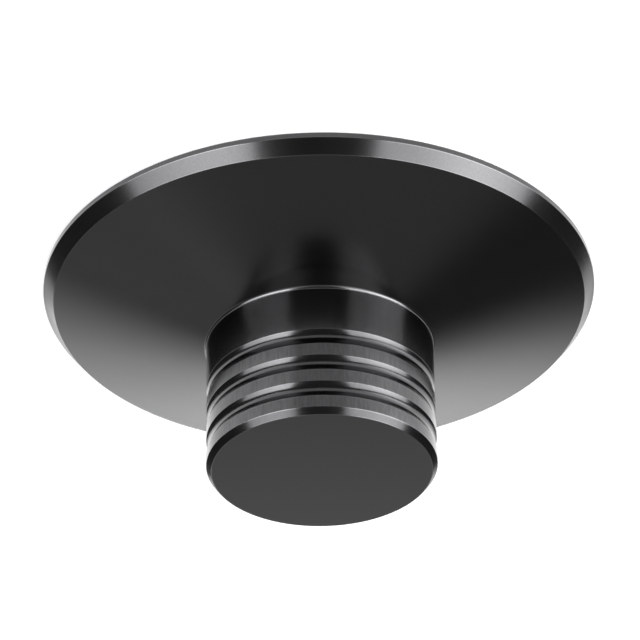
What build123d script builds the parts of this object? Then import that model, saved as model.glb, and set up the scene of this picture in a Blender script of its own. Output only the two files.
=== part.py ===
from build123d import *
import math
import os

# A record weight turned from one solid bar: a wide, low cone that lies on the record label,
# and a straight grip knob with three round-bottomed finger grooves standing on its centre.
# It rests on its flat underside, with the record player's spindle in the blind hole below.
# Millimetres, +Z up along the spindle, origin at the centre of the resting face.

# Disc and its edge
disc_diameter = 85.0
rim_wall_height = 1.0      # straight band of the edge, from the record up to the bevel
rim_bevel_width = 1.6      # how far the bevel comes in from the edge
rim_bevel_height = 2.0     # how far it climbs
cone_rise = 7.35           # from the bevel's inner edge up to the root of the knob

# Grip knob
knob_diameter = 34.75
knob_height = 21.8         # from the root to the end face
root_radius = 0.6          # internal corner where knob and cone meet
end_bevel_width = 0.75
end_bevel_height = 0.95

# Finger grooves, counted down from the end of the knob
groove_count = 3
groove_radius = 2.1        # round nose of the grooving tool
groove_depth = 0.40
land_width = 2.05          # straight band between two grooves
end_land_width = 1.95      # straight band between the end bevel and the first groove

# Outside corners that the lathe tool has broken
edge_break = 0.1           # on the rim, the edge of the cone, the lands and the end bevel
foot_break = 0.2           # under the rim, where the weight meets the label

# Spindle hole in the underside
bore_diameter = 7.4        # for a spindle of 7.2
bore_depth = 18.0          # from the resting face to the end of the straight wall
bore_lead = 0.8            # countersink at the mouth
drill_point_angle = 118.0  # cone that the drill leaves at the end of the hole

# Places that follow from the sizes
disc_radius = disc_diameter / 2
knob_radius = knob_diameter / 2
bore_radius = bore_diameter / 2
bevel_top = rim_wall_height + rim_bevel_height
cone_top = bevel_top + cone_rise
end_face = cone_top + knob_height
groove_width = 2 * math.sqrt(groove_depth * (2 * groove_radius - groove_depth))
groove_pitch = groove_width + land_width
first_groove_top = end_face - end_bevel_height - end_land_width
groove_tops = [first_groove_top - number * groove_pitch for number in range(groove_count)]


def turned_body():
    """The outer form, from one half section: edge of the disc, cone and knob."""
    outline = [
        (0, 0),
        (disc_radius - foot_break, 0),
        (disc_radius, foot_break),
        (disc_radius, rim_wall_height),
        (disc_radius - rim_bevel_width, bevel_top),
        (knob_radius, cone_top),
        (knob_radius, end_face - end_bevel_height),
        (knob_radius - end_bevel_width, end_face),
        (0, end_face),
    ]
    section = make_face(Plane.XZ * Polyline(*outline, close=True))
    return revolve(section, Axis.Z)


def cut_grooves(body):
    """Each groove is the path of the tool's round nose, sunk to its depth all round the knob."""
    for top in groove_tops:
        path_radius = knob_radius - groove_depth + groove_radius
        body -= Pos(0, 0, top - groove_width / 2) * Torus(path_radius, groove_radius)
    return body


def rings(body, radius, height):
    """The round edges of the body at one radius and one height."""
    return [
        edge
        for edge in body.edges().filter_by(GeomType.CIRCLE)
        if abs(edge.radius - radius) < 1e-3 and abs(edge.center(CenterOf.MASS).Z - height) < 1e-3
    ]


def soften_edges(body):
    """Rounds the root of the knob, then breaks each outside corner with a narrow flat."""
    body = fillet(rings(body, knob_radius, cone_top), root_radius)
    corners = [
        (disc_radius, rim_wall_height),
        (disc_radius - rim_bevel_width, bevel_top),
        (knob_radius, end_face - end_bevel_height),
        (knob_radius - end_bevel_width, end_face),
    ]
    for top in groove_tops:
        corners += [(knob_radius, top), (knob_radius, top - groove_width)]
    edges = [edge for radius, height in corners for edge in rings(body, radius, height)]
    return chamfer(edges, edge_break)


def drill_spindle_hole(body):
    """Blind hole with a countersunk mouth, ending in the cone that a drill leaves."""
    point_length = bore_radius / math.tan(math.radians(drill_point_angle / 2))
    outline = [
        (0, 0),
        (bore_radius + bore_lead, 0),
        (bore_radius, bore_lead),
        (bore_radius, bore_depth),
        (0, bore_depth + point_length),
    ]
    hole = revolve(make_face(Plane.XZ * Polyline(*outline, close=True)), Axis.Z)
    return body - hole


def record_weight():
    body = cut_grooves(turned_body())
    return drill_spindle_hole(soften_edges(body))


os.makedirs("parts", exist_ok=True)
weight = record_weight()
weight.label = "record_weight"
export_step(weight, "parts/record_weight.step")
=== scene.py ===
# A record weight turned from black anodised aluminium, in a plain white studio
import math

import bpy
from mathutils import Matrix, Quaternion, Vector
from mathutils.kdtree import KDTree


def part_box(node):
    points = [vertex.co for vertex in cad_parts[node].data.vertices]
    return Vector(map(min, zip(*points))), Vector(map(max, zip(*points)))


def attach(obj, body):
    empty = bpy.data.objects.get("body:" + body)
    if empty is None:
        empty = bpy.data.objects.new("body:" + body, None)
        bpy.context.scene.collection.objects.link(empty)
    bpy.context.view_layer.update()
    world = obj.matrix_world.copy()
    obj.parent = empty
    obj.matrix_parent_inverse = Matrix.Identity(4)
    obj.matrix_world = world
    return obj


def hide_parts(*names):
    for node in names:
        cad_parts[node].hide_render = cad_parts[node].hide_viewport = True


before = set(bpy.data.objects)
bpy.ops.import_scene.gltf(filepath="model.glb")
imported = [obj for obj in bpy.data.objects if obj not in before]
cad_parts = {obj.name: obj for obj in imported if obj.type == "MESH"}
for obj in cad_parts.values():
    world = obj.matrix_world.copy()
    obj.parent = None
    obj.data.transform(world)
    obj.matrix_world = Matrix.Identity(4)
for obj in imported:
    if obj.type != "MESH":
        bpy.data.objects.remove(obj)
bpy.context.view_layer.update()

millimetre = 0.001
scene = bpy.context.scene
scene.view_settings.view_transform = "Standard"
print("frame loaded:", ", ".join(sorted(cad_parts)))


# Small helpers

def deselectAll():
    if bpy.context.object and bpy.context.object.mode != "OBJECT":
        bpy.ops.object.mode_set(mode="OBJECT")
    bpy.ops.object.select_all(action="DESELECT")


def linearColour(hexColour):
    # sRGB hex to the linear colour that a shader socket takes
    parts = [int(hexColour[i:i + 2], 16) / 255 for i in (1, 3, 5)]
    return [c / 12.92 if c <= 0.04045 else ((c + 0.055) / 1.055) ** 2.4 for c in parts] + [1.0]


def lookDirection(azimuth, elevation):
    # From the weight outwards: azimuth 0 is the camera's side, positive towards +X
    side = math.radians(azimuth)
    up = math.radians(elevation)
    return Vector((math.sin(side) * math.cos(up), -math.cos(side) * math.cos(up), math.sin(up)))


def startMaterial(name):
    material = bpy.data.materials.new(name)
    material.use_nodes = True
    material.node_tree.nodes.clear()
    return material


def addNode(tree, kind, settings=None, links=None):
    # settings holds the node's own options and the values of its inputs, links what feeds its inputs
    node = tree.nodes.new(kind)
    for name, value in (settings or {}).items():
        if isinstance(name, str) and hasattr(node, name):
            setattr(node, name, value)
        else:
            node.inputs[name].default_value = value
    for name, source in (links or {}).items():
        tree.links.new(source, node.inputs[name])
    return node


def addMath(tree, operation, *terms):
    # Each term is a number, or the output that gives it
    node = addNode(tree, "ShaderNodeMath", {"operation": operation})
    for index, term in enumerate(terms):
        if isinstance(term, (int, float)):
            node.inputs[index].default_value = term
        else:
            tree.links.new(term, node.inputs[index])
    return node.outputs[0]


def addRamp(tree, source, start, end, low=0.0, high=1.0, curve="SMOOTHSTEP"):
    # Goes from low at start to high at end, and stays level outside them
    ramp = addNode(tree, "ShaderNodeMapRange", {
        "interpolation_type": curve,
        "From Min": start,
        "From Max": end,
        "To Min": low,
        "To Max": high,
    }, {"Value": source})
    return ramp.outputs["Result"]


def addPlace(tree, kind="Object"):
    # The place on the surface whole, and split into X, Y and Z
    place = addNode(tree, "ShaderNodeTexCoord").outputs[kind]
    parts = addNode(tree, "ShaderNodeSeparateXYZ", links={0: place})
    return place, parts.outputs


def addRadius(tree, parts):
    # Distance from the spindle axis
    flat = addNode(tree, "ShaderNodeCombineXYZ", links={0: parts["X"], 1: parts["Y"]})
    length = addNode(tree, "ShaderNodeVectorMath", {"operation": "LENGTH"}, {0: flat.outputs[0]})
    return length.outputs["Value"]


# Camera: seen from the knob's side and turned over, because the photo shows the knob pointing down
cameraView = {
    "lens": 195.5,        # mm
    "sensor": 36,         # mm across
    "distance": 535.1,    # mm from the point it looks at
    "lookAt": (-0.1, 0.0, 5.11),   # mm, just above the record on the spindle axis
    "elevation": 32.67,   # degrees above the record
    "roll": 178.96,       # degrees
    "near": 0.01,         # metres
    "far": 20,
}


def addCamera(view):
    back = lookDirection(0, view["elevation"])
    target = Vector(view["lookAt"]) * millimetre
    bpy.ops.object.camera_add(location=target + back * view["distance"] * millimetre)
    camera = bpy.context.object
    camera.name = "studioCamera"
    camera.rotation_mode = "QUATERNION"
    turn = Quaternion((0, 0, 1), math.radians(view["roll"]))
    camera.rotation_quaternion = (-back).to_track_quat("-Z", "Y") @ turn
    camera.data.lens = view["lens"]
    camera.data.sensor_width = view["sensor"]
    camera.data.clip_start = view["near"]
    camera.data.clip_end = view["far"]
    scene.camera = camera
    print("camera at", [round(c, 4) for c in camera.location])


deselectAll()
addCamera(cameraView)


# The weight, in millimetres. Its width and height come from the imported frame
lowCorner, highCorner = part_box("record_weight")
weightSize = {
    "discRadius": (highCorner[0] - lowCorner[0]) / 2 / millimetre,
    "endFace": highCorner[2] / millimetre,
    "rimWall": 1.0,          # straight band of the edge
    "rimBevelWidth": 1.6,
    "rimBevelHeight": 2.0,
    "coneRise": 7.35,        # from the rim bevel to the root of the knob
    "knobRadius": 17.375,
    "rootRounding": 0.45,    # internal corner between cone and knob
    "endBevelWidth": 0.75,
    "endBevelHeight": 0.95,
    "endLand": 1.95,         # straight band above the first groove
    "land": 2.05,            # straight band between two grooves
    "grooves": 3,
    "grooveRadius": 2.1,     # round nose of the grooving tool
    "grooveDepth": 0.40,
    "edgeRounding": 0.13,    # every outside corner but those of the foot
    "footBreak": 0.2,        # bottom of the rim
    "footRounding": 0.05,
    "boreRadius": 3.7,
    "boreDepth": 18.0,
    "boreLead": 0.8,         # countersink at the mouth
    "drillPoint": 118.0,     # degrees, cone at the end of the hole
    # Painted edge highlights: the corners, the grooves' edges and the foot are made lighter in colour where
    # light draws thin bright lines
    "fullEdgeHighlight": 1,           # painted highlight on the corners, from 0 to 1
    "lowerEdgeHighlight": 0.4,    # painted highlight on the grooves' lower edges, which face the cone
    "footEdgeHighlight": 0.5,
    "edgeHighlightReach": 0.07,       # how far the painted highlight line of a corner runs out on the flats
    "cornerSteps": 5,        # straight pieces in one rounded corner
    "grooveEdgeSteps": 4,    # the same on the edges of the grooves
    "grooveSteps": 20,
    "aroundSteps": 320,      # faces round the axis
    "sharpAngle": 25,        # degrees between two faces that are not shaded as one
}


def roundCorner(before, corner, after, radius, steps, glint, reach):
    # The arc that rounds one corner, as (radius, height, painted highlight), and a point without highlight
    # on each side of it
    toBefore = (Vector(before) - Vector(corner)).normalized()
    toAfter = (Vector(after) - Vector(corner)).normalized()
    half = toBefore.angle(toAfter) / 2
    centre = Vector(corner) + (toBefore + toAfter).normalized() * radius / math.sin(half)
    first = Vector(corner) + toBefore * radius / math.tan(half) - centre
    sweep = math.pi - 2 * half
    turn = 1 if first.x * toAfter.y - first.y * toAfter.x > 0 else -1
    flat = radius / math.tan(half) + reach
    points = [tuple(Vector(corner) + toBefore * flat) + (0,)]
    for step in range(steps + 1):
        angle = turn * sweep * step / steps
        spoke = Vector((
            first.x * math.cos(angle) - first.y * math.sin(angle),
            first.x * math.sin(angle) + first.y * math.cos(angle),
        ))
        points.append(tuple(centre + spoke) + (glint,))
    points.append(tuple(Vector(corner) + toAfter * flat) + (0,))
    return points


def weightOutline(size):
    # Half section as (radius, height, painted highlight), from the end of the spindle hole round to the end
    # face
    steps = size["cornerSteps"]
    reach = size["edgeHighlightReach"]
    edge = size["edgeRounding"]
    foot = size["footRounding"]
    fullEdgeHighlight = size["fullEdgeHighlight"]
    footEdgeHighlight = size["footEdgeHighlight"]
    disc = size["discRadius"]
    knob = size["knobRadius"]
    bore = size["boreRadius"]
    end = size["endFace"]
    bevelTop = size["rimWall"] + size["rimBevelHeight"]
    coneTop = bevelTop + size["coneRise"]
    drillTip = size["boreDepth"] + bore / math.tan(math.radians(size["drillPoint"] / 2))
    # Corners with their rounding and how much painted highlight they get; the grooves are put in at the
    # knob's root
    corners = [
        (0, drillTip, 0, 0),
        (bore, size["boreDepth"], 0, 0),
        (bore, size["boreLead"], 0, 0),
        (bore + size["boreLead"], 0, 0, 0),
        (disc - size["footBreak"], 0, foot, footEdgeHighlight),
        (disc, size["footBreak"], foot, footEdgeHighlight),
        (disc, size["rimWall"], edge, fullEdgeHighlight),
        (disc - size["rimBevelWidth"], bevelTop, edge, fullEdgeHighlight),
        (knob, coneTop, size["rootRounding"], fullEdgeHighlight),
        (knob, end - size["endBevelHeight"], edge, fullEdgeHighlight),
        (knob - size["endBevelWidth"], end, edge, fullEdgeHighlight),
        (0, end, 0, 0),
    ]
    points = []
    for index, (radius, height, rounding, glint) in enumerate(corners):
        corner = (radius, height)
        if rounding:
            before = corners[index - 1][:2]
            after = corners[index + 1][:2]
            points += roundCorner(before, corner, after, rounding, steps, glint, reach)
        else:
            points.append((radius, height, 0))
        if corner == (knob, coneTop):
            points += groovesOutline(size)
    return points


def groovesOutline(size):
    # The grooves from the lowest up: each is an arc of the tool's nose between two rounded edges
    knob = size["knobRadius"]
    depth = size["grooveDepth"]
    nose = size["grooveRadius"]
    edge = size["edgeRounding"]
    reach = size["edgeHighlightReach"]
    edgeSteps = size["grooveEdgeSteps"]
    halfGroove = math.sqrt(depth * (2 * nose - depth))
    axis = knob - depth + nose
    lean = math.asin(halfGroove / nose)
    pitch = 2 * halfGroove + size["land"]
    top = size["endFace"] - size["endBevelHeight"] - size["endLand"]
    trim = edge * math.tan(lean / 2) / nose
    tangent = (math.sin(lean), math.cos(lean))
    points = []
    for number in reversed(range(size["grooves"])):
        middle = top - halfGroove - number * pitch
        lower = (knob, middle - halfGroove)
        upper = (knob, middle + halfGroove)
        # These four only give the directions in which the lines leave the two edges
        below = (knob, lower[1] - 1)
        inward = (lower[0] - tangent[0], lower[1] + tangent[1])
        outward = (upper[0] - tangent[0], upper[1] - tangent[1])
        above = (knob, upper[1] + 1)
        points += roundCorner(below, lower, inward, edge, edgeSteps, size["lowerEdgeHighlight"], reach)[:-1]
        for step in range(1, size["grooveSteps"]):
            angle = (lean - trim) * (2 * step / size["grooveSteps"] - 1)
            points.append((axis - nose * math.cos(angle), middle + nose * math.sin(angle), 0))
        points += roundCorner(outward, upper, above, edge, edgeSteps, size["fullEdgeHighlight"], reach)[1:]
    return points


def spinOutline(name, points, steps):
    # One vertex is extruded from point to point, and the line is spun round the spindle axis
    deselectAll()
    start = Vector((points[0][0], 0, points[0][1])) * millimetre
    bpy.ops.mesh.primitive_plane_add(size=millimetre, location=start)
    piece = bpy.context.object
    piece.name = name
    piece.data.name = name
    bpy.ops.object.transform_apply(location=True, rotation=True, scale=True)
    bpy.ops.object.mode_set(mode="EDIT")
    bpy.ops.mesh.select_mode(type="VERT")
    bpy.ops.mesh.select_all(action="SELECT")
    bpy.ops.mesh.merge(type="CENTER")
    for here, there in zip(points, points[1:]):
        move = ((there[0] - here[0]) * millimetre, 0, (there[1] - here[1]) * millimetre)
        bpy.ops.mesh.extrude_vertices_move(TRANSFORM_OT_translate={"value": move})
    bpy.ops.mesh.select_all(action="SELECT")
    bpy.ops.mesh.spin(steps=steps, angle=2 * math.pi, center=(0, 0, 0), axis=(0, 0, 1))
    # The two ends of the turn meet, and so do the points on the axis
    bpy.ops.mesh.select_all(action="SELECT")
    bpy.ops.mesh.remove_doubles(threshold=0.001 * millimetre)
    bpy.ops.mesh.normals_make_consistent(inside=False)
    bpy.ops.object.mode_set(mode="OBJECT")
    return piece


def smoothFaces(piece, sharpAngle):
    bpy.ops.object.shade_smooth_by_angle(angle=math.radians(sharpAngle))
    bpy.ops.object.modifier_add(type="WEIGHTED_NORMAL")
    modifier = piece.modifiers[-1]
    modifier.keep_sharp = True
    bpy.ops.object.modifier_apply(modifier=modifier.name)


def markPaintedEdgeHighlight(piece, points):
    # Writes how much painted highlight each corner gets as an attribute, which the finish reads
    section = KDTree(len(points))
    for index, (radius, height, glint) in enumerate(points):
        section.insert((radius * millimetre, 0, height * millimetre), index)
    section.balance()
    paintedEdgeLight = piece.data.attributes.new("paintedEdgeHighlight", "FLOAT", "POINT")
    for vertex in piece.data.vertices:
        nearest = section.find((math.hypot(vertex.co.x, vertex.co.y), 0, vertex.co.z))[1]
        paintedEdgeLight.data[vertex.index].value = points[nearest][2]


outline = weightOutline(weightSize)
weight = spinOutline("turnedWeight", outline, weightSize["aroundSteps"])
smoothFaces(weight, weightSize["sharpAngle"])
markPaintedEdgeHighlight(weight, outline)
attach(weight, "root")
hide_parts("record_weight")
print("weight turned:", len(weight.data.polygons), "faces")


# Black anodised aluminium, fine turned: a clear hard oxide over a dyed metal. It gives the eye a deep
# neutral black that mirrors the studio softly, and goes bright where it is seen at a low angle
anodised = {
    "colour": "#4c4c4d",       # reflection seen straight on
    "roughness": 0.18,
    "roughnessSpread": 0.03,
    "markSpacing": 0.12,       # mm, feed of the finishing cut
    "markDepth": 0.0004,       # mm
    "cloudSize": 6.0,          # mm, how the etching varies from place to place
    "streakWidth": 0.30,       # mm across, drawn coarser than the real grain so that it shows
    "streakLength": 2.0,       # mm along the axis
    "bandStreaks": 0.40,       # share of the colour at the strongest streak, on the knob's straight bands
    "otherStreaks": 0.12,      # and on everything else
    "bandRadius": 17.375,      # mm, where the straight bands lie
    "bandCore": 0.012,         # mm from there, as far as the streaks are full
    "bandMargin": 0.12,        # mm from there, where they have fallen to the weaker share
    "edgeHighlightShade": 0.8,          # how much lighter the painted highlight makes the thin edges
    "facedFrom": 0.09,         # mm under the end of the knob, where the finer cut of its end face starts
    "facedFull": 0.01,
    "facedShade": 0.42,        # how much lighter that face is
    "facedSheen": 0.5,         # and what is left of its shine at a low angle
}


def makeBlackAnodisedAluminium(look):
    material = startMaterial("blackAnodisedAluminium")
    tree = material.node_tree
    place, parts = addPlace(tree)
    radius = addRadius(tree, parts)
    # Turning rings: the pattern reads only the radius and the height
    ring = addNode(tree, "ShaderNodeCombineXYZ", links={0: radius, 1: parts["Z"]})
    marks = addNode(tree, "ShaderNodeTexNoise", {
        "noise_dimensions": "2D",
        "Scale": 1 / (look["markSpacing"] * millimetre),
        "Detail": 2.0,
        "Roughness": 0.6,
    }, {"Vector": ring.outputs[0]})
    bump = addNode(tree, "ShaderNodeBump", {
        "Strength": 1.0,
        "Distance": look["markDepth"] * millimetre,
    }, {"Height": marks.outputs["Fac"]})
    # The etching is a little rougher in some places than in others
    cloud = addNode(tree, "ShaderNodeTexNoise", {
        "noise_dimensions": "3D",
        "Scale": 1 / (look["cloudSize"] * millimetre),
        "Detail": 3.0,
    }, {"Vector": place})
    smoothest = look["roughness"] - look["roughnessSpread"]
    roughest = look["roughness"] + look["roughnessSpread"]
    rough = addRamp(tree, cloud.outputs["Fac"], 0, 1, smoothest, roughest, "LINEAR")
    # Streaks along the axis in the shade of the dye, strongest on the knob's straight bands. The noise
    # swings by a half to each side, so the shares are doubled
    across = 1 / (look["streakWidth"] * millimetre)
    along = 1 / (look["streakLength"] * millimetre)
    grain = addNode(tree, "ShaderNodeMapping", {"Scale": (across, across, along)}, {"Vector": place})
    streaks = addNode(tree, "ShaderNodeTexNoise", {
        "noise_dimensions": "3D",
        "Scale": 1.0,
        "Detail": 2.0,
    }, {"Vector": grain.outputs[0]})
    offBand = addMath(tree, "ABSOLUTE", addMath(tree, "SUBTRACT", radius, look["bandRadius"] * millimetre))
    core = look["bandCore"] * millimetre
    margin = look["bandMargin"] * millimetre
    strong = 2 * look["bandStreaks"]
    faint = 2 * look["otherStreaks"]
    depth = addRamp(tree, offBand, core, margin, strong, faint, "LINEAR")
    swing = addMath(tree, "SUBTRACT", streaks.outputs["Fac"], 0.5)
    streaked = addMath(tree, "MULTIPLY_ADD", swing, depth, 1.0)
    # Painted highlight: the corners are made lighter in colour, to stand in for the thin bright lines that
    # light draws along them
    edgeGlint = addNode(tree, "ShaderNodeAttribute", {"attribute_name": "paintedEdgeHighlight"})
    paintedEdgeLight = addMath(tree, "MULTIPLY_ADD", edgeGlint.outputs["Fac"], look["edgeHighlightShade"], streaked)
    # The end face: a little lighter, and it dazzles less when it is seen almost from its side
    facedFrom = weightSize["endFace"] * millimetre - look["facedFrom"] * millimetre
    facedFull = weightSize["endFace"] * millimetre - look["facedFull"] * millimetre
    faced = addRamp(tree, parts["Z"], facedFrom, facedFull, 1.0, 1 + look["facedShade"], "LINEAR")
    sheen = addRamp(tree, parts["Z"], facedFrom, facedFull, 1.0, look["facedSheen"], "LINEAR")
    dye = addNode(tree, "ShaderNodeVectorMath", {
        "operation": "SCALE",
        0: linearColour(look["colour"])[:3],
    }, {"Scale": addMath(tree, "MULTIPLY", paintedEdgeLight, faced)})
    surface = addNode(tree, "ShaderNodeBsdfPrincipled", {"Metallic": 1.0}, {
        "Base Color": dye.outputs[0],
        "Specular Tint": sheen,
        "Roughness": rough,
        "Normal": bump.outputs["Normal"],
    })
    addNode(tree, "ShaderNodeOutputMaterial", links={"Surface": surface.outputs[0]})
    return material


weight.data.materials.clear()
weight.data.materials.append(makeBlackAnodisedAluminium(anodised))
print("finish made")


# Studio: a small white table top, two soft boxes beside the camera, a white screen behind, and a dim room
# with a few paler places. Azimuths are seen from the weight, lengths are metres, and radiances are against
# 1 for white. Left and right are the photo's: the camera is turned over, so its left is +X

# White satin sheet: the eye sees a plain white ground with a soft shadow, and the metal sees it brighter in
# some places than in others, from a painted glow that stands in for light falling there
table = {
    "front": 0.085,            # from the weight's axis to each edge
    "back": 0.45,
    "left": 0.075,
    "right": 0.14,
    "gap": 0.02,               # mm under the weight, so that the two do not share one plane
    "colour": "#e0e0e0",
    "roughness": 0.1,          # mirrors the soft boxes faintly
    "cameraLift": 0.45,        # brings the sheet to white in the picture, and leaves the shadow on it
    "farLift": 1.2,            # the same away from the weight, where less light falls on the sheet
    "farLiftFrom": 0.065,
    "farLiftTo": 0.110,
    "sideLift": 1.05,          # how much brighter the metal sees the sheet at both sides of the weight
    "sideFrom": 0.010,         # from the weight's axis sideways: none there, full at the second
    "sideFull": 0.040,
    "frontFrom": -0.070,       # the same from the front edge backwards
    "frontFull": -0.003,
    "farFull": 0.045,          # and fading again behind the weight
    "farGone": 0.085,
    "rimLift": 0.10,           # share of it that is left beside the rim
    "rimFrom": 0.0435,
    "rimTo": 0.050,
    "cornerLift": 2.0,         # both front corners of the sheet, close to the soft boxes
    "cornerFrom": 0.060,       # sideways
    "cornerFull": 0.076,
    "cornerBack": 0.012,       # and forwards, none there and full at the second
    "cornerFore": -0.015,
    "ringLift": 0.40,          # the narrow ring round the foot, which the upright rim wall mirrors
    "ringSides": 0.55,         # and how much more of it at both sides
    "ringFull": 0.0430,
    "ringGone": 0.0446,
    "ringBack": 0.010,         # it fades behind the weight, from here back to the second
    "ringEnd": 0.020,
    "touchReach": 0.1,         # mm, only a ray from the underside meets the sheet so soon
    "underLeft": 0.55,         # what the underside mirrors where it rests on the sheet, from -X to +X
    "underRight": 1.25,
    "underReach": 0.043,
}


def makeTableMaterial(look):
    material = startMaterial("whiteSatinSheet")
    tree = material.node_tree
    parts = addPlace(tree)[1]
    aside = addMath(tree, "ABSOLUTE", parts["X"])
    radius = addRadius(tree, parts)
    # Painted glow on both sides of the sheet: behind the front edge, before the far part, and weaker beside
    # the rim
    beside = addRamp(tree, aside, look["sideFrom"], look["sideFull"])
    behindFront = addRamp(tree, parts["Y"], look["frontFrom"], look["frontFull"], high=look["sideLift"])
    beforeFar = addRamp(tree, parts["Y"], look["farGone"], look["farFull"])
    clearOfRim = addRamp(tree, radius, look["rimFrom"], look["rimTo"], low=look["rimLift"])
    sides = addMath(tree, "MULTIPLY", beside, behindFront)
    sidesNear = addMath(tree, "MULTIPLY", sides, beforeFar)
    sidesClear = addMath(tree, "MULTIPLY", sidesNear, clearOfRim)
    # Painted glow on the ring round the foot
    aroundFoot = addRamp(tree, radius, look["ringGone"], look["ringFull"])
    ringFore = addRamp(tree, parts["Y"], look["ringEnd"], look["ringBack"])
    ring = addMath(tree, "MULTIPLY", aroundFoot, ringFore)
    ringLevel = addMath(tree, "MULTIPLY_ADD", beside, look["ringSides"], look["ringLift"])
    sidesAndRing = addMath(tree, "MULTIPLY_ADD", ring, ringLevel, sidesClear)
    # Painted glow on the front corners
    outward = addRamp(tree, aside, look["cornerFrom"], look["cornerFull"], high=look["cornerLift"])
    forward = addRamp(tree, parts["Y"], look["cornerBack"], look["cornerFore"])
    allLifts = addMath(tree, "MULTIPLY_ADD", outward, forward, sidesAndRing)
    # All of these are painted glow that only the metal's mirrored rays see, and the camera sees a plainer
    # lift
    rays = addNode(tree, "ShaderNodeLightPath").outputs
    mirrored = addMath(tree, "MAXIMUM", rays["Is Glossy Ray"], rays["Is Transmission Ray"])
    inMirror = addMath(tree, "MULTIPLY", mirrored, allLifts)
    farPlaces = (look["farLiftFrom"], look["farLiftTo"])
    inPicture = addRamp(tree, radius, *farPlaces, look["cameraLift"], look["farLift"], "LINEAR")
    lift = addMath(tree, "MULTIPLY_ADD", rays["Is Camera Ray"], inPicture, inMirror)
    # Where the underside rests on the sheet no light gets in, so it is given some
    touching = addMath(tree, "LESS_THAN", rays["Ray Length"], look["touchReach"] * millimetre)
    underPlaces = (-look["underReach"], look["underReach"])
    underShade = addRamp(tree, parts["X"], *underPlaces, look["underLeft"], look["underRight"], "LINEAR")
    withUnder = addMath(tree, "MULTIPLY_ADD", touching, underShade, lift)
    sheet = addNode(tree, "ShaderNodeBsdfPrincipled", {
        "Base Color": linearColour(look["colour"]),
        "Roughness": look["roughness"],
    })
    glow = addNode(tree, "ShaderNodeEmission", {}, {"Strength": withUnder})
    both = addNode(tree, "ShaderNodeAddShader", {}, {0: sheet.outputs[0], 1: glow.outputs[0]})
    # From below the sheet is seen through, so that the underside of the weight shows
    side = addNode(tree, "ShaderNodeNewGeometry")
    clear = addNode(tree, "ShaderNodeBsdfTransparent")
    oneSided = addNode(tree, "ShaderNodeMixShader", {}, {
        0: side.outputs["Backfacing"],
        1: both.outputs[0],
        2: clear.outputs[0],
    })
    addNode(tree, "ShaderNodeOutputMaterial", links={"Surface": oneSided.outputs[0]})
    return material


def addTable(look):
    deselectAll()
    bpy.ops.mesh.primitive_plane_add(size=1, location=(0.5, 0.5, 0))
    sheet = bpy.context.object
    sheet.name = "studioTable"
    bpy.ops.object.transform_apply(location=True)
    # The unit square becomes the table top, with its first corner at the camera's front right
    sheet.scale = (look["left"] + look["right"], look["front"] + look["back"], 1)
    sheet.location = (-look["right"], -look["front"], -look["gap"] * millimetre)
    bpy.ops.object.transform_apply(location=True, scale=True)
    sheet.data.materials.append(makeTableMaterial(look))


# Soft boxes: white cloth lit from inside, brightest at one place and falling off towards its edges. The
# metal mirrors them as the pale patches on the knob and the rim
leftBox = {
    "azimuth": 51,
    "distance": 0.32,
    "bottom": 0.017,
    "top": 0.335,
    "width": 0.30,
    "tilt": 8,                 # degrees, leaning over the weight
    "cutCorners": 0.02,
    "radiance": 7.2,
    "edgeRadiance": 3.5,
    "hotAzimuth": 34,          # brightest place of the cloth
    "hotHeight": 0.12,
    "hotReach": 0.25,          # from there to where it has fallen to the edge's level
}
rightBox = {
    "azimuth": -57,
    "distance": 0.32,
    "bottom": 0.006,
    "top": 0.345,
    "width": 0.385,
    "tilt": 8,
    "cutCorners": 0.02,
    "radiance": 8.2,
    "edgeRadiance": 4.5,
    "hotAzimuth": -63,
    "hotHeight": 0.13,
    "hotReach": 0.18,
}


def makeSoftBoxMaterial(name, box):
    material = startMaterial(name)
    tree = material.node_tree
    hot = lookDirection(box["hotAzimuth"], 0) * box["distance"]
    hot.z = box["hotHeight"]
    place = addPlace(tree)[0]
    away = addNode(tree, "ShaderNodeVectorMath", {"operation": "DISTANCE", 1: hot}, {0: place})
    level = addRamp(tree, away.outputs["Value"], 0, box["hotReach"], box["radiance"], box["edgeRadiance"])
    cloth = addNode(tree, "ShaderNodeEmission", {}, {"Strength": level})
    addNode(tree, "ShaderNodeOutputMaterial", links={"Surface": cloth.outputs[0]})
    return material


def addSoftBox(name, box):
    height = box["top"] - box["bottom"]
    place = lookDirection(box["azimuth"], 0) * box["distance"]
    place.z = box["bottom"] + height / 2
    deselectAll()
    bpy.ops.mesh.primitive_plane_add(size=1)
    panel = bpy.context.object
    panel.name = name
    panel.scale = (box["width"], height, 1)
    bpy.ops.object.transform_apply(scale=True)
    bpy.ops.object.mode_set(mode="EDIT")
    bpy.ops.mesh.select_all(action="SELECT")
    bpy.ops.mesh.bevel(offset=box["cutCorners"], segments=1, affect="VERTICES")
    bpy.ops.object.mode_set(mode="OBJECT")
    panel.rotation_mode = "QUATERNION"
    panel.rotation_quaternion = lookDirection(box["azimuth"], box["tilt"]).to_track_quat("-Z", "Y")
    panel.location = place
    bpy.ops.object.transform_apply(location=True, rotation=True)
    panel.data.materials.append(makeSoftBoxMaterial(name + "Cloth", box))
    panel.visible_camera = False


# White screen: the cone mirrors it as the pale haze at both sides, darker upwards and to the right
screen = {
    "distance": 0.45,
    "left": 0.33,
    "right": 0.28,
    "top": 0.40,
    "radiance": 1.62,
    "topRadiance": 0.36,
    "fadeFrom": 0.135,         # height where it begins to darken upwards
    "fadeTo": 0.335,
    "sideFrom": -0.305,        # and the stretch over which it darkens to the right
    "sideTo": -0.115,
    "sideShare": 0.06,         # what is left of it there
}


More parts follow.
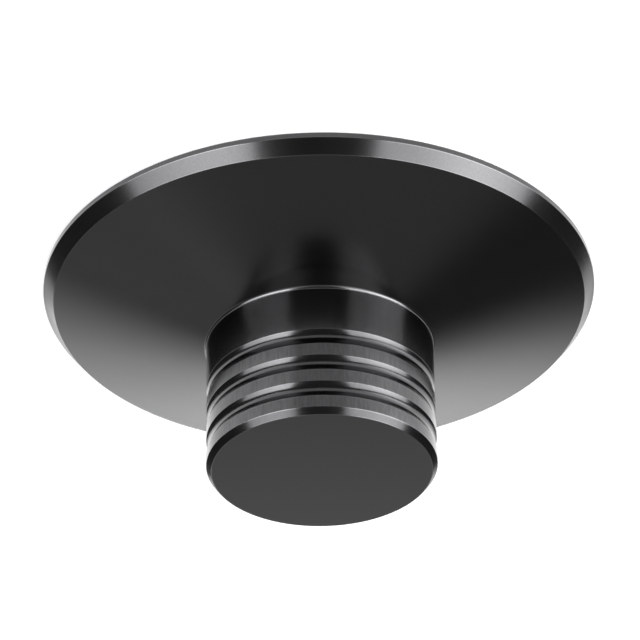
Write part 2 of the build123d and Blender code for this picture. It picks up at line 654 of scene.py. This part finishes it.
def makeScreenMaterial(look):
    material = startMaterial("whiteScreen")
    tree = material.node_tree
    parts = addPlace(tree)[1]
    fadePlaces = (look["fadeFrom"], look["fadeTo"])
    upwards = addRamp(tree, parts["Z"], *fadePlaces, look["radiance"], look["topRadiance"], "LINEAR")
    sideways = addRamp(tree, parts["X"], look["sideFrom"], look["sideTo"], low=look["sideShare"])
    cloth = addNode(tree, "ShaderNodeEmission", {}, {
        "Strength": addMath(tree, "MULTIPLY", upwards, sideways),
    })
    addNode(tree, "ShaderNodeOutputMaterial", links={"Surface": cloth.outputs[0]})
    return material


def addScreen(look):
    # Stands upright behind the weight, facing the camera
    deselectAll()
    bpy.ops.mesh.primitive_plane_add(size=1)
    panel = bpy.context.object
    panel.name = "backScreen"
    panel.scale = (look["left"] + look["right"], look["top"], 1)
    panel.rotation_euler = (math.radians(90), 0, 0)
    panel.location = ((look["left"] - look["right"]) / 2, look["distance"], look["top"] / 2)
    bpy.ops.object.transform_apply(location=True, rotation=True, scale=True)
    panel.data.materials.append(makeScreenMaterial(look))
    panel.visible_camera = False


# The room: white to the camera, and dim to the metal
room = {
    "level": 0.10,
    "ceilingLevel": 0.22,
    "ceilingFrom": 47,         # degrees of elevation
    "ceilingTo": 57,
    # Brighter places: a pale wall high behind on the +X side, and a lamp above each soft box. All in
    # degrees, and full and gone are counted from the middle of the place
    "places": [
        {"azimuth": 155, "elevation": 38, "full": 8, "gone": 27, "level": 0.37},
        {"azimuth": -68, "elevation": 62, "full": 6, "gone": 20, "level": 1.9},
        {"azimuth": 52, "elevation": 64, "full": 5, "gone": 17, "level": 1.2},
    ],
}


def addRoom(look):
    world = bpy.data.worlds.new("dimRoom")
    scene.world = world
    world.use_nodes = True
    tree = world.node_tree
    tree.nodes.clear()
    # The generated place is the direction in which a ray leaves
    ray, parts = addPlace(tree, "Generated")
    ceilingFrom = math.sin(math.radians(look["ceilingFrom"]))
    ceilingTo = math.sin(math.radians(look["ceilingTo"]))
    ceiling = look["level"] + look["ceilingLevel"]
    level = addRamp(tree, parts["Z"], ceilingFrom, ceilingTo, look["level"], ceiling)
    for bright in look["places"]:
        towards = lookDirection(bright["azimuth"], bright["elevation"])
        nearness = addNode(tree, "ShaderNodeVectorMath", {"operation": "DOT_PRODUCT", 1: towards}, {0: ray})
        gone = math.cos(math.radians(bright["gone"]))
        full = math.cos(math.radians(bright["full"]))
        glow = addRamp(tree, nearness.outputs["Value"], gone, full, high=bright["level"])
        level = addMath(tree, "ADD", level, glow)
    white = linearColour("#ffffff")
    dim = addNode(tree, "ShaderNodeBackground", {"Color": white}, {"Strength": level})
    plain = addNode(tree, "ShaderNodeBackground", {"Color": white, "Strength": 1.0})
    rays = addNode(tree, "ShaderNodeLightPath")
    both = addNode(tree, "ShaderNodeMixShader", {}, {
        0: rays.outputs["Is Camera Ray"],
        1: dim.outputs[0],
        2: plain.outputs[0],
    })
    addNode(tree, "ShaderNodeOutputWorld", links={"Surface": both.outputs[0]})


addTable(table)
addSoftBox("leftSoftBox", leftBox)
addSoftBox("rightSoftBox", rightBox)
addScreen(screen)
addRoom(room)
print("studio lit")
